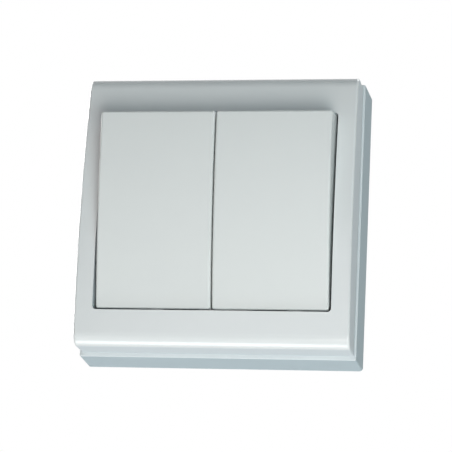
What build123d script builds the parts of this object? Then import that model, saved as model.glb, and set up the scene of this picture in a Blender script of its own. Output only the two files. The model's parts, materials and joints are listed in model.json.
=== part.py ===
from build123d import *
from math import asin, cos, pi, radians, sin, tan
import os

# Surface-mounted double two-way rocker switch, in millimetres.
# X runs to the right, Z up, and the room lies on the -Y side. The wall is the plane y = 0, and the origin
# is the middle of the back face. A depth is a distance from the wall towards the room, so depth = -y.

# Back box
base_width = 80.0
base_height = 81.8
base_depth = 12.6
base_draft = 2.5              # degrees
base_corner_radius = 1.0
base_wall = 2.2
base_floor = 2.0
base_rim_round = 0.25
wall_hole_pitch_x = 40.0
wall_hole_pitch_z = 60.0
wall_hole_radius = 2.2
knockout_width = 16.0
knockout_web = 0.8
knockout_foot = 4.0
knockout_top_margin = 2.0
knockout_radius = 10.0
knockout_groove = 0.8
cable_entry_width = 16.0      # of the openings in the floor, at the top and at the bottom
cable_entry_height = 7.0
cable_entry_z = 32.0
cable_entry_corner = 2.0
boss_radius = 3.2
web_thickness = 1.8

# Cover frame
side_ledge = 0.6              # of the box's rim that shows beside the cover
end_ledge = 1.1               # above and below it
cover_crown_radius = 270.0
cover_end_radius = 4.0
cover_side_draft = 0.5        # degrees
cover_edge_round = 0.6
cover_wall = 2.2
collar_wall = 1.4
collar_sink = 2.0             # of the collar's foot, in front of the box's rim
side_band = 6.45              # of the frame beside the window, from the box's side
end_band = 12.3               # above and below the window, when it is in the middle
window_middle_z = -0.85
window_corner_radius = 1.0
tongue_wall = 1.2
tongue_length = 2.4
tongue_clearance = 0.2
snap_pitch = 40.0
snap_width = 8.0
snap_height = 0.5
snap_length = 1.2
snap_clearance = 0.15

# Rockers
rocker_tilt = 9.0             # degrees, each way from the middle
rocker_side_clearance = 0.55
rocker_centre_gap = 0.35
rocker_end_clearance = 0.6
rocker_face_radius = 250.0
rocker_crown_height = 5.5     # above the pivot axis
rocker_skirt_height = 11.0    # from the crown to the lower edge
rocker_draft = 1.2            # degrees
rocker_wall = 1.7
rocker_edge_round = 0.6
rocker_corner_round = 0.7
rib_thickness = 1.2
rib_offset = 5.5              # from the middle of the gang
clip_width = 4.0
clip_wall = 1.2
clip_barb = 0.7
clip_clearance = 0.15

# Tilting cradles
crown_over_pivot = 2.0        # from the pivot axis to the cover's crown
rocker_lid_clearance = 1.8    # under the skirt of a pressed rocker
trunnion_radius = 1.5
trunnion_clearance = 0.06
barrel_radius = 2.2
wing_reach = 13.0
wing_width = 14.0
wing_low = 1.0                # above the pivot axis
wing_thickness = 1.6
wing_corner_radius = 1.0
gusset_inset = 4.0
peg_radius = 2.5
peg_bore_radius = 1.7
plunger_stand = 1.87          # of the plunger's tip out of the peg
spring_seat = 0.6             # behind the pivot axis

# Plunger and spring
plunger_clearance = 0.08
plunger_guide = 3.6
plunger_inset = 0.2
plunger_tip_radius = 1.3
plunger_gap = 0.11            # between tip and contact strip in the middle position
spring_wire_radius = 0.17
spring_radius = 1.2
spring_turns = 7

# Support plate
plate_sink = 2.2              # of the plate's back, behind the box's rim
plate_thickness = 1.0
plate_side_margin = 5.0       # outside the plate screws
plate_end_margin = 2.0        # outside the lugs
plate_corner_radius = 4.0
plate_screw_inset = 10.0      # from the box's side
plate_slot_length = 7.0
plate_slot_clearance = 0.25
plate_cutout_clearance = 0.3
lug_pitch = 28.0
lug_thickness = 1.0
lug_width = 6.0
lug_hook = 0.9
lug_clearance = 0.1

# Mechanism housing and its lid
housing_boss_gap = 0.3
housing_height = 43.0
housing_corner_radius = 2.0
housing_sink = 5.2            # of the housing's back, behind the plate's
housing_floor = 1.6
housing_wall = 1.2
flange_width = 40.0
flange_reach = 2.4
flange_thickness = 1.0
lid_flange_gap = 0.1
lid_thickness = 1.5
ear_offset = 9.6              # from the middle of the gang
ear_thickness = 1.8
ear_radius = 2.8
ear_foot_half = 4.0
ear_clearance = 0.3
stop_post_size = 2.0
stop_post_inset = 1.5         # from the wing's end
stop_clearance = 0.05
peg_slot_clearance = 0.4

# Contacts and terminals
strip_thickness = 0.8
strip_width = 3.4
pad_radius = 2.4
tip_radius = 1.4
tip_height = 0.7
tip_round = 0.2
tip_reach = 8.5               # from the see-saw's axis
closed_gap = 0.03
seesaw_swing = 6.0            # degrees, each way from the middle
seesaw_dish = 8.5             # degrees, of each arm
seesaw_thickness = 0.6
seesaw_width = 5.6
seesaw_end = 1.7              # beyond the middle of its buttons
seesaw_axle_radius = 0.6
seesaw_axle_clearance = 0.06
seesaw_axle_end = 0.3
seesaw_lift = 0.3             # of the strip's back above its axle
bracket_wall = 0.8
bracket_gap = 0.4
bracket_half_height = 2.0
terminal_offset = 6.2         # from the middle of the gang
terminal_end_gap = 0.5
terminal_width = 6.0
terminal_length = 5.6
terminal_lid_gap = 0.3
wire_hole_radius = 1.2
wire_hole_wall = 0.3
wire_entry_clearance = 0.15
driver_hole_clearance = 0.4

# Screws
thread_clearance = 0.05
head_clearance = 0.2
plate_screw_radius = 1.45
plate_screw_head_radius = 2.7
plate_screw_head_height = 1.8
plate_screw_length = 7.0
lid_screw_radius = 1.0
lid_screw_head_radius = 1.9
lid_screw_head_height = 1.1
lid_screw_length = 5.0
lid_screw_sink = 0.8
lid_screw_inset_z = 3.9       # from the lid's edges
lid_screw_inset_x = 3.3
lid_post_radius = 2.2
terminal_screw_radius = 1.2
terminal_screw_head_radius = 2.0
terminal_screw_head_height = 1.2
screw_slot_width = 0.6
screw_slot_share = 0.5        # of the head's height

# Worked out from the sizes above
overcut = 0.5                 # by which a cut passes a face
tilt = radians(rocker_tilt)
dish = radians(seesaw_dish)
swing = radians(seesaw_swing)
base_taper = base_depth * tan(radians(base_draft))
base_inner_x = base_width / 2 - base_taper - base_wall
base_inner_z = base_height / 2 - base_taper - base_wall
cover_x = base_width / 2 - base_taper - side_ledge
cover_z = base_height / 2 - base_taper - end_ledge
tongue_x = base_inner_x - tongue_clearance
tongue_z = base_inner_z - tongue_clearance
snap_foot = base_depth - tongue_length + snap_clearance
snap_top = snap_foot + snap_length
window_width = base_width - 2 * side_band
window_height = base_height - 2 * end_band
pair_half = window_width / 2 - rocker_side_clearance
rocker_half_length = window_height / 2 - rocker_end_clearance
rocker_foot = rocker_crown_height - rocker_skirt_height
wing_front = wing_low + wing_thickness
gusset_reach = wing_reach - gusset_inset
stop_post_reach = wing_reach - stop_post_inset
plate_screw_x = base_width / 2 - plate_screw_inset
plate_width = 2 * (plate_screw_x + plate_side_margin)
lug_inner = housing_height / 2 + flange_reach + lug_clearance
plate_height = 2 * (lug_inner + lug_thickness + plate_end_margin)
housing_width = 2 * (plate_screw_x - boss_radius - housing_boss_gap)
chamber_inner = housing_wall / 2
chamber_outer = housing_width / 2 - housing_wall
gang_x = (chamber_inner + chamber_outer) / 2
plate_depth = base_depth - plate_sink
plate_front = plate_depth + plate_thickness
flange_front = plate_front + flange_thickness
housing_back_depth = plate_depth - housing_sink
deck_depth = housing_back_depth + housing_floor
strip_front = deck_depth + strip_thickness
lid_depth = flange_front + lid_flange_gap
lid_front = lid_depth + lid_thickness
lid_screw_seat = lid_front - lid_screw_sink
lid_screw_reach = housing_height / 2 - lid_screw_inset_z
lid_screw_offset = housing_width / 2 - lid_screw_inset_x
block_front = lid_depth - terminal_lid_gap
wire_depth = strip_front + wire_hole_wall + wire_hole_radius
terminal_reach = housing_height / 2 - housing_wall - terminal_end_gap - terminal_length / 2

# The pivot stands so far out that the skirt of a pressed rocker clears the lid, and the cover follows it.
skirt_drop = housing_height / 2 * sin(tilt) - rocker_foot * cos(tilt)
pivot_depth = lid_front + rocker_lid_clearance + skirt_drop
cover_crown_depth = pivot_depth + crown_over_pivot
collar_foot_depth = base_depth + collar_sink

# The see-saw's axis lies where its closed button just clears the fixed one.
tip_face_z = tip_reach + tip_height * sin(dish)
tip_face_height = seesaw_lift + tip_reach * tan(dish) - tip_height * cos(dish)
tip_drop = tip_face_height * cos(swing) - tip_face_z * sin(swing) - tip_radius * sin(dish - swing)
seesaw_depth = strip_front + tip_height + closed_gap - tip_drop
seesaw_front = seesaw_depth + seesaw_lift + seesaw_thickness / cos(dish)
seesaw_half_length = tip_reach + seesaw_end
plunger_reach = pivot_depth - seesaw_front - plunger_gap
peg_length = plunger_reach - plunger_stand

# Places of the six terminals: two at the top and one at the bottom of each gang
terminal_places = [(side * (gang_x + shift), window_middle_z + reach)
                   for side in (-1, 1)
                   for shift, reach in ((-terminal_offset, terminal_reach), (terminal_offset, terminal_reach),
                                        (0, -terminal_reach))]
lid_screw_places = [(0, window_middle_z + lid_screw_reach), (0, window_middle_z - lid_screw_reach),
                    (lid_screw_offset, window_middle_z - lid_screw_reach),
                    (-lid_screw_offset, window_middle_z - lid_screw_reach)]
plate_screw_places = [(side * plate_screw_x, window_middle_z) for side in (-1, 1)]


def front_plane(depth, x=0, z=0):
    # a plane parallel to the wall, facing the room
    return Plane(origin=(x, -depth, z), x_dir=(1, 0, 0), z_dir=(0, -1, 0))


def side_plane(x=0, depth=0, z=0):
    # a plane across the switch: its first coordinate is the depth, its second the height
    return Plane(origin=(x, -depth, z), x_dir=(0, -1, 0), z_dir=(-1, 0, 0))


def raised(outline, depth_from, depth_to, x=0, z=0, draft=0.0):
    # a front outline carried from one depth to another
    return extrude(front_plane(depth_from, x, z) * outline, depth_to - depth_from, taper=draft)


def across(outline, x_from, x_to, depth=0, z=0):
    # a side outline carried along X
    return extrude(side_plane((x_from + x_to) / 2, depth, z) * outline, abs(x_to - x_from) / 2, both=True)


def rod(radius, depth_from, depth_to, x=0, z=0):
    return raised(Circle(radius), depth_from, depth_to, x, z)


def cross_rod(radius, x_from, x_to, depth, z):
    return across(Circle(radius), x_from, x_to, depth, z)


def turned(outline, x, z):
    # a side outline, drawn from its axis outwards, spun about that axis
    return revolve(side_plane(x, 0, z) * outline, Axis((x, 0, z), (0, 1, 0)))


def swung(shape, angle, depth):
    # turned about the X direction at a pivot; a positive angle brings the top towards the room
    return shape.rotate(Axis((0, -depth, window_middle_z), (1, 0, 0)), angle)


def pan_screw(radius, length, head_radius, head_height, seat, x, z):
    # the head's flat underside lies at the depth given by seat
    rim = seat + head_height / 2
    crest = seat + head_height
    dome_radius = (head_height / 2) ** 2 + head_radius ** 2
    dome_radius /= head_height
    half_angle = asin(head_radius / dome_radius) / 2
    edge = Polyline((seat - length, 0), (seat - length, radius / 2), (seat - length + radius, radius),
                    (seat, radius), (seat, head_radius), (rim, head_radius))
    dome = ThreePointArc((rim, head_radius), (crest - dome_radius * (1 - cos(half_angle)),
                                              dome_radius * sin(half_angle)), (crest, 0))
    screw = turned(make_face(edge + dome + Line((crest, 0), (seat - length, 0))), x, z)
    slot = raised(Rectangle(2 * head_radius + overcut, screw_slot_width),
                  crest - head_height * screw_slot_share, crest + overcut, x, z)
    return screw - slot


def arch_outline(inset):
    # side outline of the cover: upright ends under a shallow crown, with tangent arcs between them
    crown_r = cover_crown_radius - inset
    end_r = cover_end_radius - inset
    centre_z = cover_z - cover_end_radius
    lean = asin(centre_z / (cover_crown_radius - cover_end_radius))
    crown_centre = cover_crown_depth - cover_crown_radius
    end_centre = crown_centre + (cover_crown_radius - cover_end_radius) * cos(lean)
    shoulder_angle = pi / 2 - lean

    def on_end(angle, side):
        return end_centre + end_r * sin(angle), side * (centre_z + end_r * cos(angle))

    def end_arc(side):
        return ThreePointArc(on_end(0, side), on_end(shoulder_angle / 2, side), on_end(shoulder_angle, side))

    upper = end_arc(1)
    lower = end_arc(-1)
    crown = ThreePointArc(upper @ 1, (crown_centre + crown_r, 0), lower @ 1)
    foot = Polyline(upper @ 0, (base_depth, centre_z + end_r), (base_depth, -centre_z - end_r), lower @ 0)
    return make_face(upper + crown + lower + foot)


def arched_block(inset):
    # the arch between two side walls that lean in towards the room
    half_foot = cover_x - inset
    rise = cover_crown_depth - base_depth + overcut
    half_top = half_foot - rise * tan(radians(cover_side_draft))
    walls = loft([front_plane(base_depth) * Rectangle(2 * half_foot, base_height),
                  front_plane(base_depth + rise) * Rectangle(2 * half_top, base_height)])
    return walls & across(arch_outline(inset), -cover_x, cover_x)


def knockout_pocket(side):
    # thins the top or bottom wall to a web that breaks out for the cable
    thinning = base_wall - knockout_web
    return raised(Rectangle(knockout_width, thinning), knockout_foot, base_depth - knockout_top_margin, 0,
                  side * (base_inner_z + thinning / 2))


def plate_boss(x, z):
    side = 1 if x > 0 else -1
    boss = rod(boss_radius, base_floor, plate_depth, x, z)
    web_end = base_inner_x + base_wall / 2
    web = raised(Rectangle(web_end - abs(x), web_thickness), base_floor, plate_depth - overcut,
                 side * (web_end + abs(x)) / 2, z)
    return boss + web


def base_box():
    box = raised(RectangleRounded(base_width, base_height, base_corner_radius), 0, base_depth,
                 draft=base_draft)
    box = fillet(box.faces().sort_by(Axis.Y)[0].edges(), base_rim_round)
    box -= raised(RectangleRounded(2 * base_inner_x, 2 * base_inner_z, base_corner_radius), base_floor,
                  base_depth + overcut)
    for side in (-1, 1):
        box -= knockout_pocket(side)
        box -= raised(RectangleRounded(cable_entry_width, cable_entry_height, cable_entry_corner), -overcut,
                      base_floor + overcut, 0, side * cable_entry_z)
    for x, z in plate_screw_places:
        box += plate_boss(x, z)
        box -= rod(plate_screw_radius + thread_clearance, base_floor, plate_depth + overcut, x, z)
    for x in (-wall_hole_pitch_x / 2, wall_hole_pitch_x / 2):
        for z in (-wall_hole_pitch_z / 2, wall_hole_pitch_z / 2):
            box -= rod(wall_hole_radius, -overcut, base_floor + overcut, x, z)
    ring = Circle(knockout_radius) - Circle(knockout_radius - knockout_groove)
    box -= raised(ring, knockout_web, base_floor + overcut)
    # pockets behind the rim that the cover's snap bumps spring into
    for side in (-1, 1):
        for z in (-snap_pitch / 2, snap_pitch / 2):
            box -= raised(Rectangle(2 * (snap_height + snap_clearance), snap_width + 2 * snap_clearance),
                          snap_foot - snap_clearance, snap_top + snap_clearance, side * base_inner_x, z)
    return box


def snap_bump(side, z):
    # a wedge on the outside of the tongue, with its lead-in towards the wall
    root = side * (tongue_x - tongue_wall / 2)
    flank = side * tongue_x
    crest = side * (tongue_x + tongue_clearance + snap_height)
    outline = Polyline((root, -snap_top), (crest, -snap_top), (crest, -snap_top + snap_length / 3),
                       (flank, -snap_foot), (root, -snap_foot), close=True)
    return extrude(Plane.XY.offset(z) * make_face(outline), snap_width / 2, both=True)


def cover_frame():
    outer = arched_block(0)
    side_edges = [edge for edge in outer.edges()
                  if abs(edge.center().X) > cover_x - 1 and -edge.center().Y > base_depth + overcut]
    outer = fillet(side_edges, cover_edge_round)
    collar = raised(RectangleRounded(window_width + 2 * collar_wall, window_height + 2 * collar_wall,
                                     window_corner_radius + collar_wall), collar_foot_depth,
                    cover_crown_depth, 0, window_middle_z)
    cover = outer - arched_block(cover_wall) + (outer & collar)
    tongue = RectangleRounded(2 * tongue_x, 2 * tongue_z, base_corner_radius) \
        - Rectangle(2 * (tongue_x - tongue_wall), 2 * (tongue_z - tongue_wall))
    cover += raised(tongue, base_depth - tongue_length, base_depth + cover_wall / 2)
    cover -= raised(RectangleRounded(window_width, window_height, window_corner_radius), base_depth,
                    cover_crown_depth + overcut, 0, window_middle_z)
    for side in (-1, 1):
        for z in (-snap_pitch / 2, snap_pitch / 2):
            cover += snap_bump(side, z)
    return cover


def rocker_block(inset):
    # a cap with leaning walls under a crowned face, in the middle position; straight at the centre gap
    low = pivot_depth + rocker_foot
    high = pivot_depth + rocker_crown_height + overcut
    lean = (high - low) * tan(radians(rocker_draft))
    inner_x = rocker_centre_gap / 2 + inset
    outer_x = pair_half - inset
    half_length = rocker_half_length - inset

    def section(depth, shrink):
        width = outer_x - shrink - inner_x
        return front_plane(depth, inner_x + width / 2, window_middle_z) \
            * Rectangle(width, 2 * (half_length - shrink))

    block = loft([section(low, 0), section(high, lean)])
    if inset == 0:
        upright = block.edges().filter_by(lambda edge: abs(edge.tangent_at(0.5).Y) > 0.9)
        block = fillet(upright, rocker_corner_round)
    face_radius = rocker_face_radius - inset
    crown = pivot_depth + rocker_crown_height - inset
    disc = Pos(crown - face_radius, 0) * Circle(face_radius)
    reach = 2 * base_height
    under_face = disc & (Pos(crown - reach / 2, 0) * Rectangle(reach, reach))
    return block & across(under_face, -base_width, base_width, 0, window_middle_z)


def clip_hook(side):
    # a springy leg under the rocker whose barb grips the end of the cradle's wing
    inner = side * (wing_reach + clip_clearance)
    outer = side * (wing_reach + clip_clearance + clip_wall)
    grip = side * (wing_reach + clip_clearance - clip_barb)
    top = pivot_depth + rocker_crown_height - rocker_wall
    barb_top = pivot_depth + wing_low - clip_clearance
    barb_foot = barb_top - clip_barb
    outline = Polyline((top, inner), (barb_top, inner), (barb_top, grip), (barb_foot, inner),
                       (barb_foot, outer), (top, outer), close=True)
    return across(make_face(outline), gang_x - clip_width / 2, gang_x + clip_width / 2, 0, window_middle_z)


def rocker():
    body = rocker_block(0)
    face_edges = [edge for edge in body.edges()
                  if -edge.center().Y > pivot_depth + rocker_crown_height / 2
                  and abs(edge.tangent_at(0.5).Y) < 0.5]
    body = fillet(face_edges, rocker_edge_round)
    cavity = rocker_block(rocker_wall)
    ribs = [raised(Rectangle(rib_thickness, 2 * wing_reach), pivot_depth + wing_front,
                   pivot_depth + rocker_crown_height, gang_x + shift, window_middle_z)
            for shift in (-rib_offset, rib_offset)]
    inside = sum(ribs, Part()) + clip_hook(-1) + clip_hook(1)
    return body - cavity + (inside & cavity)


def carrier():
    # the cradle: a barrel with trunnions, a wing that the rocker clips on and a hollow peg for the spring
    half_barrel = ear_offset - ear_thickness / 2 - ear_clearance
    half_trunnion = ear_offset + ear_thickness / 2 + ear_clearance
    body = cross_rod(barrel_radius, gang_x - half_barrel, gang_x + half_barrel, pivot_depth, window_middle_z)
    body += cross_rod(trunnion_radius, gang_x - half_trunnion, gang_x + half_trunnion, pivot_depth,
                      window_middle_z)
    body += raised(RectangleRounded(wing_width, 2 * wing_reach, wing_corner_radius), pivot_depth + wing_low,
                   pivot_depth + wing_front, gang_x, window_middle_z)
    gusset = make_face(Polyline((wing_front, -gusset_reach), (wing_low, -gusset_reach),
                                (-barrel_radius * 0.6, 0), (wing_low, gusset_reach),
                                (wing_front, gusset_reach), close=True))
    for shift in (-rib_offset, rib_offset):
        body += across(gusset, gang_x + shift - rib_thickness / 2, gang_x + shift + rib_thickness / 2,
                       pivot_depth, window_middle_z)
    body += rod(peg_radius, pivot_depth - peg_length, pivot_depth, gang_x, window_middle_z)
    return body - rod(peg_bore_radius, pivot_depth - peg_length - overcut, pivot_depth - spring_seat, gang_x,
                      window_middle_z)


def plunger():
    guide_radius = peg_bore_radius - plunger_clearance
    mouth = pivot_depth - peg_length + plunger_inset
    end = pivot_depth - plunger_reach
    edge = Polyline((mouth + plunger_guide, 0), (mouth + plunger_guide, guide_radius), (mouth, guide_radius),
                    (mouth, plunger_tip_radius), (end + plunger_tip_radius, plunger_tip_radius))
    dome = ThreePointArc((end + plunger_tip_radius, plunger_tip_radius),
                         (end + plunger_tip_radius * (1 - sin(pi / 4)), plunger_tip_radius * cos(pi / 4)),
                         (end, 0))
    return turned(make_face(edge + dome + Line((end, 0), (mouth + plunger_guide, 0))), gang_x,
                  window_middle_z)


def coil_spring():
    # from the plunger's back to the blind end of the peg
    low = pivot_depth - peg_length + plunger_inset + plunger_guide + spring_wire_radius
    high = pivot_depth - spring_seat - spring_wire_radius
    coil = Helix((high - low) / spring_turns, high - low, spring_radius,
                 center=(gang_x, -low, window_middle_z), direction=(0, -1, 0))
    wire = Plane(origin=coil @ 0, z_dir=coil % 0) * Circle(spring_wire_radius)
    return sweep(wire, path=coil, is_frenet=True)


def moving_contact():
    # a shallow dished strip on its axle, in the middle position
    arm_rise = seesaw_half_length * tan(dish)
    skin = seesaw_thickness / cos(dish)
    end = seesaw_half_length
    outline = Polyline((seesaw_lift, 0), (seesaw_lift + arm_rise, end), (seesaw_lift + arm_rise + skin, end),
                       (seesaw_lift + skin, 0), (seesaw_lift + arm_rise + skin, -end),
                       (seesaw_lift + arm_rise, -end), close=True)
    half_width = seesaw_width / 2
    strip = across(make_face(outline), gang_x - half_width, gang_x + half_width, seesaw_depth,
                   window_middle_z)
    half_axle = half_width + bracket_gap + bracket_wall + seesaw_axle_end
    return strip + cross_rod(seesaw_axle_radius, gang_x - half_axle, gang_x + half_axle, seesaw_depth,
                             window_middle_z)


def moving_tips():
    # a button riveted to the back of each arm
    tips = Part()
    for side in (-1, 1):
        height = seesaw_lift + tip_reach * tan(dish)
        seat = Plane(origin=(gang_x, -(seesaw_depth + height), window_middle_z + side * tip_reach),
                     x_dir=(1, 0, 0), z_dir=(0, cos(dish), side * sin(dish)))
        button = extrude(seat * Circle(tip_radius), tip_height)
        tips += fillet(button.edges().sort_by(Axis.Y)[-1], tip_round)
    return tips


def fixed_tips():
    tips = Part()
    for side in (-1, 1):
        button = rod(tip_radius, strip_front, strip_front + tip_height, gang_x,
                     window_middle_z + side * tip_reach)
        tips += fillet(button.edges().sort_by(Axis.Y)[0], tip_round)
    return tips


def strip_run(x_from, z_from, x_to, z_to):
    # a straight stretch of flat strip, as an outline about the middle of the gang
    width = abs(x_to - x_from) + strip_width
    height = abs(z_to - z_from) + strip_width
    return Pos((x_from + x_to) / 2, (z_from + z_to) / 2) * Rectangle(width, height)


def flat_strip(outline):
    return raised(outline, deck_depth, strip_front, gang_x, window_middle_z)


def upper_contact():
    tail_end = terminal_reach + terminal_length / 2 - strip_width / 2
    pad = Pos(0, tip_reach) * Circle(pad_radius)
    return flat_strip(pad + strip_run(0, tip_reach, -terminal_offset, tip_reach)
                      + strip_run(-terminal_offset, tip_reach, -terminal_offset, tail_end))


def lower_contact():
    tail_end = terminal_reach + terminal_length / 2 - strip_width / 2
    pad = Pos(0, -tip_reach) * Circle(pad_radius)
    return flat_strip(pad + strip_run(0, -tip_reach, 0, -tail_end))


def common_contact():
    # a strip with two upright ears that carry the see-saw's axle
    tail_end = terminal_reach + terminal_length / 2 - strip_width / 2
    ear_inner = seesaw_width / 2 + bracket_gap
    ear_outer = ear_inner + bracket_wall
    web = Rectangle(2 * ear_outer, 2 * bracket_half_height)
    body = flat_strip(web + strip_run(0, 0, terminal_offset, 0)
                      + strip_run(terminal_offset, 0, terminal_offset, tail_end))
    rise = seesaw_depth - deck_depth
    upright = Pos(rise / 2, 0) * Rectangle(rise, 2 * bracket_half_height) \
        + Pos(rise, 0) * Circle(bracket_half_height)
    upright -= Pos(rise, 0) * Circle(seesaw_axle_radius + seesaw_axle_clearance)
    for side in (-1, 1):
        ear = across(upright, gang_x + side * ear_inner, gang_x + side * ear_outer, deck_depth,
                     window_middle_z)
        body += ear & rod(bracket_half_height * 4, deck_depth, lid_depth, gang_x, window_middle_z)
    return body


def terminal_blocks():
    # brass blocks on the ends of the strips, with a wire hole and a threaded hole
    blocks = Part()
    for x, z in [place for place in terminal_places if place[0] > 0]:
        block = raised(Rectangle(terminal_width, terminal_length), strip_front, block_front, x, z)
        wire = extrude(Plane(origin=(x, -wire_depth, z), x_dir=(1, 0, 0), z_dir=(0, 0, 1))
                       * Circle(wire_hole_radius), terminal_length, both=True)
        thread = rod(terminal_screw_radius + thread_clearance, wire_depth, block_front + overcut, x, z)
        blocks += block - wire - thread
    return blocks


def terminal_screws():
    length = block_front - wire_depth - wire_hole_radius
    return sum([pan_screw(terminal_screw_radius, length, terminal_screw_head_radius,
                          terminal_screw_head_height, block_front, x, z) for x, z in terminal_places], Part())


def plate_lug(x, side):
    # rises from the plate and hooks over the edge of the housing's flange
    outer = lug_inner + lug_thickness
    hook = lug_inner - lug_hook
    low = flange_front + lug_clearance
    outline = Polyline((plate_depth, side * outer), (low + lug_thickness, side * outer),
                       (low + lug_thickness, side * hook), (low, side * hook), (low, side * lug_inner),
                       (plate_depth, side * lug_inner), close=True)
    return across(make_face(outline), x - lug_width / 2, x + lug_width / 2, 0, window_middle_z)


def support_plate():
    outline = RectangleRounded(plate_width, plate_height, plate_corner_radius) \
        - RectangleRounded(housing_width + 2 * plate_cutout_clearance,
                           housing_height + 2 * plate_cutout_clearance, housing_corner_radius)
    for x, z in plate_screw_places:
        slot = SlotOverall(plate_slot_length, 2 * (plate_screw_radius + plate_slot_clearance), rotation=90)
        outline -= Pos(x, 0) * slot
    plate = raised(outline, plate_depth, plate_front, 0, window_middle_z)
    for x in (-lug_pitch / 2, lug_pitch / 2):
        for side in (-1, 1):
            plate += plate_lug(x, side)
    return plate


def plate_screws():
    return sum([pan_screw(plate_screw_radius, plate_screw_length, plate_screw_head_radius,
                          plate_screw_head_height, plate_front, x, z) for x, z in plate_screw_places], Part())


def mechanism_housing():
    # a tray with a chamber for each gang
    outline = RectangleRounded(housing_width, housing_height, housing_corner_radius)
    tray = raised(outline, housing_back_depth, lid_depth, 0, window_middle_z)
    tray += raised(Rectangle(flange_width, housing_height + 2 * flange_reach), plate_front, flange_front, 0,
                   window_middle_z)
    chamber_width = chamber_outer - chamber_inner
    for side in (-1, 1):
        tray -= raised(Rectangle(chamber_width, housing_height - 2 * housing_wall), deck_depth,
                       lid_depth + overcut, side * (chamber_outer + chamber_inner) / 2, window_middle_z)
    for x, z in lid_screw_places:
        tray += rod(lid_post_radius, deck_depth, lid_depth, x, z) & raised(
            outline, deck_depth, lid_depth, 0, window_middle_z)
    for x, z in lid_screw_places:
        tray -= rod(lid_screw_radius + thread_clearance, lid_screw_seat - lid_screw_length - overcut,
                    lid_depth + overcut, x, z)
    for x, z in terminal_places:
        way_out = 1 if z > window_middle_z else -1
        entry = Plane(origin=(x, -wire_depth, z), x_dir=(1, 0, 0), z_dir=(0, 0, way_out))
        tray -= extrude(entry * Circle(wire_hole_radius + wire_entry_clearance), housing_height / 4)
    return tray


def bearing_ear(x):
    # an upright with a flared foot and a round head about the trunnion
    rise = pivot_depth - lid_front + overcut
    outline = make_face(Polyline((-rise, -ear_foot_half), (0, -ear_radius), (0, ear_radius),
                                 (-rise, ear_foot_half), close=True)) + Circle(ear_radius)
    outline -= Circle(trunnion_radius + trunnion_clearance)
    return across(outline, x - ear_thickness / 2, x + ear_thickness / 2, pivot_depth, window_middle_z)


def mechanism_lid():
    # closes the housing and carries the bearing ears and the posts that stop the cradles
    lid = raised(RectangleRounded(housing_width, housing_height, housing_corner_radius), lid_depth, lid_front,
                 0, window_middle_z)
    peg_play = (pivot_depth - lid_depth) * tan(tilt) + peg_slot_clearance
    stop_front = pivot_depth + wing_low * cos(tilt) \
        - (stop_post_reach + stop_post_size / 2) * sin(tilt) - stop_clearance
    for gang in (-gang_x, gang_x):
        lid -= raised(Rectangle(2 * (peg_radius + peg_slot_clearance), 2 * (peg_radius / cos(tilt) + peg_play)),
                      lid_depth - overcut, lid_front + overcut, gang, window_middle_z)
        for side in (-1, 1):
            lid += bearing_ear(gang + side * ear_offset)
            for end in (-1, 1):
                lid += raised(Rectangle(stop_post_size, stop_post_size), lid_front - overcut, stop_front,
                              gang + side * rib_offset, window_middle_z + end * stop_post_reach)
    for x, z in terminal_places:
        lid -= rod(terminal_screw_head_radius + driver_hole_clearance, lid_depth - overcut,
                   lid_front + overcut, x, z)
    for x, z in lid_screw_places:
        lid -= rod(lid_screw_radius + thread_clearance, lid_depth - overcut, lid_front, x, z)
        lid -= rod(lid_screw_head_radius + head_clearance, lid_screw_seat, lid_front + overcut, x, z)
    return lid


def lid_screws():
    return sum([pan_screw(lid_screw_radius, lid_screw_length, lid_screw_head_radius, lid_screw_head_height,
                          lid_screw_seat, x, z) for x, z in lid_screw_places], Part())


def gang_pieces():
    # the right-hand gang as it stands at rest: the top of the rocker out, the upper contact closed
    return {
        "rocker": swung(rocker(), rocker_tilt, pivot_depth),
        "carrier": swung(carrier(), rocker_tilt, pivot_depth),
        "plunger": swung(plunger(), rocker_tilt, pivot_depth),
        "spring": swung(coil_spring(), rocker_tilt, pivot_depth),
        "moving_contact": swung(moving_contact(), -seesaw_swing, seesaw_depth),
        "moving_tips": swung(moving_tips(), -seesaw_swing, seesaw_depth),
        "fixed_tips": fixed_tips(),
        "common_contact": common_contact(),
        "upper_contact": upper_contact(),
        "lower_contact": lower_contact(),
        "terminal_blocks": terminal_blocks(),
    }


def all_pieces():
    pieces = {
        "base_box": base_box(),
        "cover_frame": cover_frame(),
        "support_plate": support_plate(),
        "plate_screws": plate_screws(),
        "mechanism_housing": mechanism_housing(),
        "mechanism_lid": mechanism_lid(),
        "lid_screws": lid_screws(),
        "terminal_screws": terminal_screws(),
    }
    for name, shape in gang_pieces().items():
        pieces["right_" + name] = shape
        pieces["left_" + name] = mirror(shape, about=Plane.YZ)
    return pieces


os.makedirs("parts", exist_ok=True)
for node, solid in all_pieces().items():
    export_step(solid, os.path.join("parts", node + ".step"))
print("gang x", round(gang_x, 4), "pivot depth", round(pivot_depth, 4), "see-saw depth",
      round(seesaw_depth, 4), "plunger reach", round(plunger_reach, 4))
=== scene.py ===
import bpy, json, math
import numpy as np
from mathutils import Matrix, Vector


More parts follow.
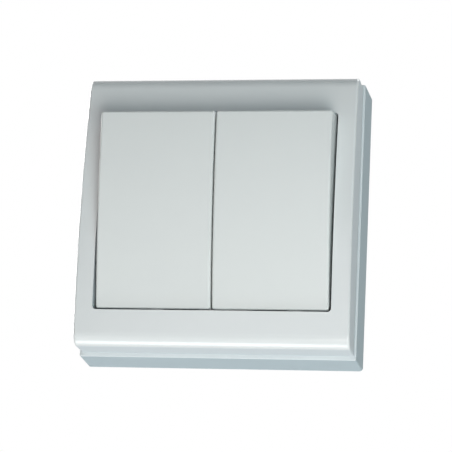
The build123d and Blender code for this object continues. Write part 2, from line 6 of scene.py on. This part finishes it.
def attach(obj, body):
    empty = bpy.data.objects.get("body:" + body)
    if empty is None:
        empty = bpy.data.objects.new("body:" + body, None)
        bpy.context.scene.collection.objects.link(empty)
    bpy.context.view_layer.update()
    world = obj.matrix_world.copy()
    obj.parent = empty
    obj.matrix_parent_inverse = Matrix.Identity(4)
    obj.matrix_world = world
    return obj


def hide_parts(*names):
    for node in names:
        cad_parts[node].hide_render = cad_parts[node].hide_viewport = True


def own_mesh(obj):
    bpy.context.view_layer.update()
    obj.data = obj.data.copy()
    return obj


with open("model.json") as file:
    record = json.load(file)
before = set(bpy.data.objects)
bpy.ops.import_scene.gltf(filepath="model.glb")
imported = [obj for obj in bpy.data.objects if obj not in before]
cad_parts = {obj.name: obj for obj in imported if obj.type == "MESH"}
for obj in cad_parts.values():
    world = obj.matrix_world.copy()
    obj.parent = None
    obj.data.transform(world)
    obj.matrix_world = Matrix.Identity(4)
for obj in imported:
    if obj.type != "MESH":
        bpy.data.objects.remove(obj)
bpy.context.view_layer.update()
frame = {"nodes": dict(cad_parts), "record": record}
nodes = frame["nodes"]
print("frame loaded:", len(nodes), "pieces")


def addNode(tree, kind, **settings):
    # a shader node with its own settings, such as operation or data_type
    node = tree.nodes.new(kind)
    for key, value in settings.items():
        setattr(node, key, value)
    return node


def setInputs(node, values):
    # fixed values on a node's inputs, by name
    for key, value in values.items():
        node.inputs[key].default_value = value
    return node


def join(tree, source, target):
    # a link from an output to an input
    tree.links.new(source, target)


def feed(tree, value, target):
    # a number is set on the input itself, and an output is linked to it
    if isinstance(value, (int, float)):
        target.default_value = value
    else:
        join(tree, value, target)


def noiseField(tree, vector, values):
    # fractal noise, its scale in cells to the metre
    node = setInputs(addNode(tree, "ShaderNodeTexNoise"), values)
    join(tree, vector, node.inputs["Vector"])
    return node.outputs["Fac"]


def remap(tree, source, fromRange, toRange, smooth=False):
    # a straight line, or a smooth step, from one range to the other
    node = addNode(tree, "ShaderNodeMapRange", interpolation_type="SMOOTHSTEP" if smooth else "LINEAR")
    join(tree, source, node.inputs["Value"])
    for name, value in zip(("From Min", "From Max", "To Min", "To Max"), (*fromRange, *toRange)):
        feed(tree, value, node.inputs[name])
    return node.outputs["Result"]


def combine(tree, operation, first, second=0.0):
    # one math operation; the second value counts only where the operation takes two
    node = addNode(tree, "ShaderNodeMath", operation=operation)
    feed(tree, first, node.inputs[0])
    feed(tree, second, node.inputs[1])
    return node.outputs["Value"]


def blendColour(tree, factor, first, second):
    # the first colour at factor 0, the second at factor 1
    node = addNode(tree, "ShaderNodeMix", data_type="RGBA")
    for name, source in (("Factor", factor), ("A", first), ("B", second)):
        join(tree, source, node.inputs[name])
    return node.outputs["Result"]


def newGroup(name, inputs, outputs):
    # a node group with named inputs {name: (kind, default)} and outputs {name: kind}
    group = bpy.data.node_groups.new(name, "ShaderNodeTree")
    for label, (kind, default) in inputs.items():
        socket = group.interface.new_socket(label, in_out="INPUT", socket_type="NodeSocket" + kind)
        socket.default_value = default
    for label, kind in outputs.items():
        group.interface.new_socket(label, in_out="OUTPUT", socket_type="NodeSocket" + kind)
    start = addNode(group, "NodeGroupInput")
    end = addNode(group, "NodeGroupOutput")
    surface = addNode(group, "ShaderNodeTexCoord").outputs
    return group, start.outputs, end.inputs, surface


def noiseBump(group, surface, given, values):
    # a normal that is shaken by fractal noise of the given size and height
    grain = setInputs(addNode(group, "ShaderNodeTexNoise"), values["grain"])
    join(group, surface["Object"], grain.inputs["Vector"])
    join(group, given["Grain Size"], grain.inputs["Scale"])
    bump = setInputs(addNode(group, "ShaderNodeBump"), {"Distance": values["grainDepth"]})
    join(group, given["Grain Height"], bump.inputs["Strength"])
    join(group, grain.outputs["Fac"], bump.inputs["Height"])
    return bump.outputs["Normal"]


# Injection-moulded plastic. Scales in cells to the metre, the grain's depth in metres, and ranges as the
# values between which an effect comes in.
moulding = {
    "flow": {"Scale": 38.0, "Detail": 4.0, "Roughness": 0.6, "Distortion": 0.8},
    "flowRange": (0.35, 0.75),
    "film": {"Scale": 60.0, "Detail": 5.0, "Roughness": 0.65, "Distortion": 1.5},
    "filmRange": (0.42, 0.72),
    # the wall range sets where the painted shade and the matting of sideways-facing walls come in
    "wallRange": (0.12, 0.32),
    "grain": {"Detail": 2.0, "Roughness": 0.5},
    "grainDepth": 0.00002,
}


def buildMouldedSkin():
    # the colour slides towards a shade where the melt flowed, and towards a painted shade where the surface
    # faces little to the front or back, so those side walls come out darker as if the lamps shaded them;
    # the roughness rises by smudge * (noise over a threshold) and by the matting of those walls; the normal
    # takes a fine spark-eroded grain
    group, given, out, surface = newGroup(
        "mouldedSkin",
        {"Colour": ("Color", (0.8, 0.8, 0.8, 1)), "Shade": ("Color", (0.7, 0.7, 0.7, 1)),
         "Mottle": ("Float", 0.3), "Roughness": ("Float", 0.3), "Smudge": ("Float", 0.02),
         "Wall Shade Colour": ("Color", (0.8, 0.8, 0.8, 1)), "Wall Shade Share": ("Float", 0.0),
         "Wall Matting": ("Float", 0.0),
         "Grain Size": ("Float", 2600.0), "Grain Height": ("Float", 0.3)},
        {"Colour": "Color", "Roughness": "Float", "Normal": "Vector"})
    flow = noiseField(group, surface["Object"], moulding["flow"])
    cloud = remap(group, flow, moulding["flowRange"], (0.0, given["Mottle"]), smooth=True)
    face = blendColour(group, cloud, given["Colour"], given["Shade"])
    facing = addNode(group, "ShaderNodeSeparateXYZ")
    join(group, surface["Normal"], facing.inputs["Vector"])
    forward = combine(group, "ABSOLUTE", facing.outputs["Y"])
    # painted shade: where the surface faces sideways, its colour is darkened towards the wall colour as if
    # the lamps shaded it
    wall = remap(group, forward, moulding["wallRange"], (1.0, 0.0), smooth=True)
    paintedWallShade = combine(group, "MULTIPLY", wall, given["Wall Shade Share"])
    join(group, blendColour(group, paintedWallShade, face, given["Wall Shade Colour"]), out["Colour"])
    film = noiseField(group, surface["Object"], moulding["film"])
    smear = remap(group, film, moulding["filmRange"], (0.0, given["Smudge"]), smooth=True)
    matting = combine(group, "MULTIPLY", wall, given["Wall Matting"])
    rough = combine(group, "ADD", given["Roughness"], smear)
    join(group, combine(group, "ADD", rough, matting), out["Roughness"])
    join(group, noiseBump(group, surface, given, moulding), out["Normal"])
    return group


# Rolled or plated metal, in the same terms; the stretch draws the streaks out along Z.
rolling = {
    "stretch": (1.0, 1.0, 0.05),
    "streak": {"Scale": 2400.0, "Detail": 2.0, "Roughness": 0.55, "Distortion": 0.0},
    "streakRange": (0.3, 0.7),
    "stain": {"Scale": 320.0, "Detail": 5.0, "Roughness": 0.62, "Distortion": 0.6},
    "stainRange": (0.48, 0.72),
    "stainDulling": 0.25,
    "grain": {"Detail": 2.0, "Roughness": 0.5},
    "grainDepth": 0.00001,
}


def buildMetalSkin():
    # cloudy noise over a threshold brings the tarnish colour in; the roughness is its own value plus the
    # streaks plus dulling * stain; the normal takes a fine grain
    group, given, out, surface = newGroup(
        "metalSkin",
        {"Colour": ("Color", (0.6, 0.6, 0.6, 1)), "Tarnish": ("Color", (0.4, 0.4, 0.4, 1)),
         "Age": ("Float", 0.4), "Roughness": ("Float", 0.3), "Streak": ("Float", 0.12),
         "Grain Size": ("Float", 4000.0), "Grain Height": ("Float", 0.4)},
        {"Colour": "Color", "Roughness": "Float", "Normal": "Vector"})
    stretch = setInputs(addNode(group, "ShaderNodeMapping"), {"Scale": rolling["stretch"]})
    join(group, surface["Object"], stretch.inputs["Vector"])
    streak = noiseField(group, stretch.outputs["Vector"], rolling["streak"])
    cloud = noiseField(group, surface["Object"], rolling["stain"])
    stain = remap(group, cloud, rolling["stainRange"], (0.0, given["Age"]), smooth=True)
    join(group, blendColour(group, stain, given["Colour"], given["Tarnish"]), out["Colour"])
    brushed = remap(group, streak, rolling["streakRange"], (0.0, given["Streak"]))
    dull = combine(group, "MULTIPLY", stain, rolling["stainDulling"])
    rough = combine(group, "ADD", given["Roughness"], brushed)
    join(group, combine(group, "ADD", rough, dull), out["Roughness"])
    join(group, noiseBump(group, surface, given, rolling), out["Normal"])
    return group


skins = {"plastic": buildMouldedSkin(), "metal": buildMetalSkin()}


def finish(name, values):
    # a Principled surface fed by the skin of its kind
    material = bpy.data.materials.new(name)
    material.use_nodes = True
    tree = material.node_tree
    shader = tree.nodes["Principled BSDF"]
    skin = setInputs(addNode(tree, "ShaderNodeGroup", node_tree=skins[values["kind"]]), values["skin"])
    for label, target in (("Colour", "Base Color"), ("Roughness", "Roughness"), ("Normal", "Normal")):
        join(tree, skin.outputs[label], shader.inputs[target])
    setInputs(shader, values["shader"])
    return material


# One finish for each material slot of the record: the skin's own inputs, and the shader's fixed values.
finishes = {
    # the base's wall colour is painted shade, which makes its side walls darker and bluer
    "base_plastic": {"kind": "plastic", "shader": {"IOR": 1.4},
                     "skin": {"Colour": (0.64, 0.68, 0.69, 1), "Shade": (0.61, 0.65, 0.66, 1),
                              "Wall Shade Colour": (0.42, 0.50, 0.53, 1), "Wall Shade Share": 1.0,
                              "Roughness": 0.4, "Wall Matting": 0.2}},
    # the frame's wall colour is painted shade, which makes its side walls darker
    "frame_plastic": {"kind": "plastic", "shader": {"IOR": 1.5},
                      "skin": {"Colour": (0.72, 0.74, 0.73, 1), "Shade": (0.69, 0.71, 0.71, 1),
                               "Wall Shade Colour": (0.59, 0.64, 0.66, 1), "Wall Shade Share": 1.0,
                               "Roughness": 0.16, "Wall Matting": 0.4}},
    "rocker_plastic": {"kind": "plastic", "shader": {"IOR": 1.45},
                       "skin": {"Colour": (0.72, 0.74, 0.72, 1), "Shade": (0.69, 0.71, 0.70, 1),
                                "Roughness": 0.3}},
    "housing_plastic": {"kind": "plastic", "shader": {"IOR": 1.5},
                        "skin": {"Colour": (0.045, 0.047, 0.052, 1), "Shade": (0.075, 0.077, 0.083, 1),
                                 "Mottle": 0.8, "Roughness": 0.5, "Smudge": 0.12, "Grain Height": 0.7}},
    "lid_plastic": {"kind": "plastic", "shader": {"IOR": 1.5},
                    "skin": {"Colour": (0.34, 0.35, 0.35, 1), "Shade": (0.28, 0.29, 0.29, 1),
                             "Mottle": 0.7, "Roughness": 0.48, "Smudge": 0.1, "Grain Height": 0.6}},
    "carrier_plastic": {"kind": "plastic", "shader": {"IOR": 1.5},
                        "skin": {"Colour": (0.58, 0.57, 0.52, 1), "Shade": (0.50, 0.49, 0.45, 1),
                                 "Mottle": 0.7, "Roughness": 0.42, "Smudge": 0.08, "Grain Height": 0.4}},
    "plate_steel": {"kind": "metal", "shader": {"Metallic": 1.0},
                    "skin": {"Colour": (0.58, 0.60, 0.63, 1), "Tarnish": (0.42, 0.44, 0.47, 1),
                             "Age": 0.6, "Roughness": 0.30}},
    "screw_steel": {"kind": "metal", "shader": {"Metallic": 1.0},
                    "skin": {"Colour": (0.56, 0.55, 0.52, 1), "Tarnish": (0.40, 0.38, 0.33, 1),
                             "Age": 0.5, "Roughness": 0.26}},
    "spring_steel": {"kind": "metal", "shader": {"Metallic": 1.0},
                     "skin": {"Colour": (0.44, 0.44, 0.46, 1), "Tarnish": (0.30, 0.30, 0.31, 1),
                              "Age": 0.3, "Roughness": 0.2, "Streak": 0.05}},
    "contact_brass": {"kind": "metal", "shader": {"Metallic": 1.0},
                      "skin": {"Colour": (0.75, 0.54, 0.24, 1), "Tarnish": (0.48, 0.28, 0.11, 1),
                               "Age": 0.7, "Roughness": 0.27}},
    "contact_silver": {"kind": "metal", "shader": {"Metallic": 1.0},
                       "skin": {"Colour": (0.86, 0.85, 0.82, 1), "Tarnish": (0.55, 0.51, 0.44, 1),
                                "Age": 0.35, "Roughness": 0.18, "Streak": 0.04}},
}

materials = {slotName: finish(slotName + "Look", values) for slotName, values in finishes.items()}

for row in frame["record"]["subparts"]:
    piece = nodes[row["node"]]
    piece.data.materials.clear()
    piece.data.materials.append(materials[row["material_slot"]])


# Screw threads, which the solids leave plain: a ridge wound round each shank. Lengths in metres.
threads = {
    "plateThreads": {"node": "plate_screws", "shank": 0.00145, "height": 0.00030, "pitch": 0.00110,
                     "run": 0.0056},
    "lidThreads": {"node": "lid_screws", "shank": 0.00100, "height": 0.00022, "pitch": 0.00080,
                   "run": 0.0034},
    "terminalThreads": {"node": "terminal_screws", "shank": 0.00120, "height": 0.00016, "pitch": 0.00050,
                        "run": 0.0013},
}
# Root and crest are half widths in pitches, the fade is in turns, and steps are the rings of one turn.
threadShape = {"steps": 22, "sink": 0.00004, "root": 0.34, "crest": 0.07, "fade": 0.75, "leastSwell": 0.02,
               "tip": 0.0003, "screwSpread": 0.006, "slot": "screw_steel", "body": "base"}


def vertexPlaces(piece):
    # the places of a piece's vertices, one row each
    places = np.empty(len(piece.data.vertices) * 3)
    piece.data.vertices.foreach_get("co", places)
    return places.reshape(-1, 3)


def screwTips(places, spread):
    # the axis and the innermost point of each screw, whose vertices are those nearer than the spread to
    # the first one left, measured along the wall
    tips = []
    while len(places):
        near = np.hypot(places[:, 0] - places[0, 0], places[:, 2] - places[0, 2]) < spread
        own = places[near]
        middle = (own.min(axis=0) + own.max(axis=0)) / 2
        tips.append((middle[0], own[:, 1].max(), middle[2]))
        places = places[~near]
    return tips


def threadRings(tip, values):
    # helix: angle = 2 pi * turns * t, depth = tip - run * t; the ridge swells in and fades out over a
    # share of a turn, and its section is a trapezium from just inside the shank to the crest
    turns = values["run"] / values["pitch"]
    t = np.linspace(0, 1, int(turns * threadShape["steps"]) + 1)
    angle = 2 * math.pi * turns * t
    swell = np.clip(np.minimum(t, 1 - t) * turns / threadShape["fade"], threadShape["leastSwell"], 1)
    inner = values["shank"] - threadShape["sink"]
    outer = inner + (values["height"] + threadShape["sink"]) * swell
    root = threadShape["root"] * values["pitch"] * swell
    crest = threadShape["crest"] * values["pitch"] * swell
    depth = tip[1] - threadShape["tip"] - values["pitch"] / 2 - values["run"] * t
    section = ((inner + 0 * t, depth + root), (outer, depth + crest), (outer, depth - crest),
               (inner + 0 * t, depth - root))
    return np.stack([np.stack([tip[0] + radius * np.cos(angle), y, tip[2] + radius * np.sin(angle)], axis=1)
                     for radius, y in section], axis=1)


def tubeFaces(ringCount, sides, first):
    # quads between neighbouring rings, and a cap on either end
    ring, side = np.meshgrid(np.arange(ringCount - 1), np.arange(sides), indexing="ij")
    a = first + ring * sides + side
    b = first + ring * sides + (side + 1) % sides
    quads = np.stack([a, a + sides, b + sides, b], axis=-1).reshape(-1, 4)
    caps = np.array([first + np.arange(sides), first + (ringCount - 1) * sides + np.arange(sides)[::-1]])
    return quads.tolist() + caps.tolist()


def addObject(name, data):
    # a new object at the origin, in the scene
    item = bpy.data.objects.new(name, data)
    bpy.context.scene.collection.objects.link(item)
    return item


def addPiece(name, places, faces, slotName, body):
    # a closed mesh with a slot's material, which rides on a body
    mesh = bpy.data.meshes.new(name)
    mesh.from_pydata(places.tolist(), [], faces)
    mesh.validate()
    piece = addObject(name, mesh)
    mesh.materials.append(materials[slotName])
    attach(piece, body)
    return piece


def buildThreads(name, values):
    # one mesh for all the threads of a set, each a tube through its own rings
    places, faces, count = [], [], 0
    for tip in screwTips(vertexPlaces(nodes[values["node"]]), threadShape["screwSpread"]):
        rings = threadRings(tip, values)
        faces += tubeFaces(rings.shape[0], rings.shape[1], count)
        places.append(rings.reshape(-1, 3))
        count += rings.shape[0] * rings.shape[1]
    addPiece(name, np.concatenate(places), faces, threadShape["slot"], threadShape["body"])


for threadName, values in threads.items():
    buildThreads(threadName, values)
print("threads wound on", len(threads), "sets of screws")


# Coil springs in place of the plain ones, each riding on its rocker unit. Lengths in metres, the tilt in
# degrees.
coils = {
    "leftCoil": {"node": "left_spring", "body": "left_rocker_unit", "joint": "left_plunger_slide"},
    "rightCoil": {"node": "right_spring", "body": "right_rocker_unit", "joint": "right_plunger_slide"},
}
coilShape = {"turns": 7, "deadTurns": 0.8, "radius": 0.0012, "wire": 0.00017, "tilt": 9.0, "travel": 0.0008,
             "steps": 36, "sides": 12, "slot": "spring_steel"}


def coilRings(places, outward):
    # helix: angle = 2 pi * turns * t; its height runs from the seat of one end to that of the other, a
    # wire's thickness for each dead turn at the ends and evenly between; the section is a circle
    aside = np.array([1.0, 0.0, 0.0])
    across = np.cross(outward, aside)
    reach = places @ outward
    low, high = reach.min() + coilShape["wire"], reach.max() - coilShape["wire"]
    middle = (places.min(axis=0) + places.max(axis=0)) / 2
    middle = middle - outward * (middle @ outward)
    turns, dead = coilShape["turns"], coilShape["deadTurns"]
    flat = 2 * coilShape["wire"] * dead
    turn = np.linspace(0, turns, turns * coilShape["steps"] + 1)
    height = np.interp(turn, [0, dead, turns - dead, turns], [low, low + flat, high - flat, high])
    angle = 2 * math.pi * turn[:, None]
    radial = aside * np.cos(angle) + across * np.sin(angle)
    line = middle + coilShape["radius"] * radial + outward * height[:, None]
    tangent = np.gradient(line, axis=0)
    tangent /= np.linalg.norm(tangent, axis=1, keepdims=True)
    side = np.cross(tangent, radial)
    around = (2 * math.pi * np.arange(coilShape["sides"]) / coilShape["sides"])[None, :, None]
    section = radial[:, None] * np.cos(around) - side[:, None] * np.sin(around)
    return line[:, None] + coilShape["wire"] * section


def buildCoil(name, values):
    # the coil is wound where the plain spring stood, which is hidden, and gets a mesh of its own
    tilt = math.radians(coilShape["tilt"])
    outward = np.array([0.0, -math.cos(tilt), -math.sin(tilt)])
    places = vertexPlaces(nodes[values["node"]])
    rings = coilRings(places, outward)
    faces = tubeFaces(rings.shape[0], rings.shape[1], 0)
    coil = addPiece(name, rings.reshape(-1, 3), faces, coilShape["slot"], values["body"])
    reach = places @ outward
    seat = places[reach.argmax()]
    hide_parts(values["node"])
    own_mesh(coil)


for coilName, values in coils.items():
    buildCoil(coilName, values)
print("springs coiled:", len(coils))


# The camera of the photograph: the object is turned about the camera's axes, shifted and moved back. Turns
# in radians, shift and distance in metres, focal length and frame in pixels, sensor in millimetres.
viewpoint = {"turn": (-0.26284, -0.18652, -0.05318), "shift": (0.001436, -0.001516), "distance": 0.58394,
             "focal": 2002.8, "frame": 452.0, "sensor": 36.0, "clip": (0.01, 20)}


def cameraAxes(turn):
    # rows: right, up and backwards, in the object's right, up and outward directions
    (cx, sx), (cy, sy), (cz, sz) = [(math.cos(angle), math.sin(angle)) for angle in turn]
    aboutX = np.array([[1, 0, 0], [0, cx, -sx], [0, sx, cx]])
    aboutY = np.array([[cy, 0, sy], [0, 1, 0], [-sy, 0, cy]])
    aboutZ = np.array([[cz, -sz, 0], [sz, cz, 0], [0, 0, 1]])
    return aboutZ @ aboutX @ aboutY


def placeCamera():
    # its place is the turned axes' way back to (-shift, distance), and its lens sensor * focal / frame
    axes = cameraAxes(viewpoint["turn"])
    away = np.array([-viewpoint["shift"][0], -viewpoint["shift"][1], viewpoint["distance"]])
    toWorld = np.array([[1, 0, 0], [0, 0, -1], [0, 1, 0]])  # outward is -Y
    turned = Matrix((toWorld @ axes.T).tolist()).to_4x4()
    turned.translation = Vector((toWorld @ (axes.T @ away)).tolist())
    lens = bpy.data.cameras.new("photoCamera")
    lens.sensor_width = viewpoint["sensor"]
    lens.lens = viewpoint["sensor"] * viewpoint["focal"] / viewpoint["frame"]
    lens.clip_start, lens.clip_end = viewpoint["clip"]
    camera = addObject("photoCamera", lens)
    camera.matrix_world = turned
    bpy.context.scene.camera = camera


placeCamera()
print("camera placed", viewpoint["distance"], "m away")


# Lamps stand round the object: azimuth from straight in front towards the right, elevation above it, in
# degrees; distance, width and height in metres, power in watts.
lampAim = (0, -0.012, 0)
lamps = {
    "underSoftbox": {"azimuth": -105, "elevation": -79, "distance": 0.8, "width": 0.40, "height": 0.24,
                     "power": 1.75, "colour": (0.88, 0.95, 1.0)},
    "sideSoftbox": {"azimuth": 30, "elevation": -26, "distance": 0.8, "width": 0.45, "height": 0.45,
                    "power": 2.55, "colour": (0.81, 0.97, 0.99)},
    "chestSoftbox": {"azimuth": 16, "elevation": -38, "distance": 0.8, "width": 0.45, "height": 0.45,
                     "power": 2.4, "colour": (1.0, 0.90, 0.87)},
    "frontSoftbox": {"azimuth": 0, "elevation": -4, "distance": 0.8, "width": 0.45, "height": 0.45,
                     "power": 1.1, "colour": (0.95, 0.91, 0.94)},
    "fillSoftbox": {"azimuth": 25, "elevation": 25, "distance": 0.8, "width": 0.45, "height": 0.45,
                    "power": 0.38, "colour": (0.35, 0.80, 1.0)},
    "rimStrip": {"azimuth": 84, "elevation": 0, "distance": 0.8, "width": 0.07, "height": 0.6,
                 "power": 0.55, "colour": (0.93, 1.0, 1.0)},
    "backSoftbox": {"azimuth": -134, "elevation": 20, "distance": 1.2, "width": 0.6, "height": 0.6,
                    "power": 11.0, "colour": (1.0, 1.0, 1.0)},
    "topSoftbox": {"azimuth": 150, "elevation": 60, "distance": 1.2, "width": 0.6, "height": 0.6,
                   "power": 7.0, "colour": (0.97, 0.99, 1.0)},
}


def placeLamp(name, values):
    # its place is the aim plus distance * direction, and its -Z axis looks back at the aim
    azimuth, elevation = math.radians(values["azimuth"]), math.radians(values["elevation"])
    towards = Vector((math.sin(azimuth) * math.cos(elevation), -math.cos(azimuth) * math.cos(elevation),
                      math.sin(elevation)))
    light = bpy.data.lights.new(name, "AREA")
    light.shape = "RECTANGLE"
    light.size, light.size_y = values["width"], values["height"]
    light.energy = values["power"]
    light.color = values["colour"]
    lamp = addObject(name, light)
    lamp.location = Vector(lampAim) + towards * values["distance"]
    lamp.rotation_euler = towards.to_track_quat("Z", "Y").to_euler()


for lampName, values in lamps.items():
    placeLamp(lampName, values)
print("lamps placed:", len(lamps))


# White air and a pale floor; the ambient light is what the air really gives. Lengths in metres.
surroundings = {"ambient": {"Color": (0.75, 0.9, 1.0, 1), "Strength": 0.01},
                "white": {"Color": (1, 1, 1, 1), "Strength": 1.0},
                "floorPaint": {"Base Color": (0.85, 0.85, 0.85, 1), "Roughness": 0.8},
                "floorHeight": -0.9, "floorHalf": 3.0, "floorGlow": 0.92}


def whiteRays(tree):
    # 1 for rays from the camera, from gloss and through glass
    path = addNode(tree, "ShaderNodeLightPath")
    seen = combine(tree, "MAXIMUM", path.outputs["Is Camera Ray"], path.outputs["Is Glossy Ray"])
    return combine(tree, "MAXIMUM", seen, path.outputs["Is Transmission Ray"])


def mixShaders(tree, factor, first, second, target):
    # the first shader at factor 0, the second at factor 1
    mix = addNode(tree, "ShaderNodeMixShader")
    for socket, source in zip(mix.inputs, (factor, first, second)):
        join(tree, source, socket)
    join(tree, mix.outputs["Shader"], target)


def buildWorld():
    # faint ambient light, and white to the rays that whiteRays names
    world = bpy.data.worlds.new("studioAir")
    world.use_nodes = True
    tree = world.node_tree
    soft = setInputs(tree.nodes["Background"], surroundings["ambient"])
    white = setInputs(addNode(tree, "ShaderNodeBackground"), surroundings["white"])
    mixShaders(tree, whiteRays(tree), soft.outputs["Background"], white.outputs["Background"],
               tree.nodes["World Output"].inputs["Surface"])
    bpy.context.scene.world = world


def buildFloor():
    # a square that glows a share of white to the rays that whiteRays names
    half, height = surroundings["floorHalf"], surroundings["floorHeight"]
    mesh = bpy.data.meshes.new("studioFloor")
    mesh.from_pydata([(-half, -half, height), (half, -half, height), (half, half, height),
                      (-half, half, height)], [], [(0, 1, 2, 3)])
    floor = addObject("studioFloor", mesh)
    material = bpy.data.materials.new("studioFloorPaint")
    material.use_nodes = True
    tree = material.node_tree
    shader = setInputs(tree.nodes["Principled BSDF"], surroundings["floorPaint"])
    glow = setInputs(addNode(tree, "ShaderNodeEmission"), surroundings["white"])
    share = combine(tree, "MULTIPLY", whiteRays(tree), surroundings["floorGlow"])
    mixShaders(tree, share, shader.outputs["BSDF"], glow.outputs["Emission"],
               tree.nodes["Material Output"].inputs["Surface"])
    mesh.materials.append(material)


buildWorld()
buildFloor()
print("air and floor ready")

bpy.context.scene.view_settings.view_transform = "Standard"
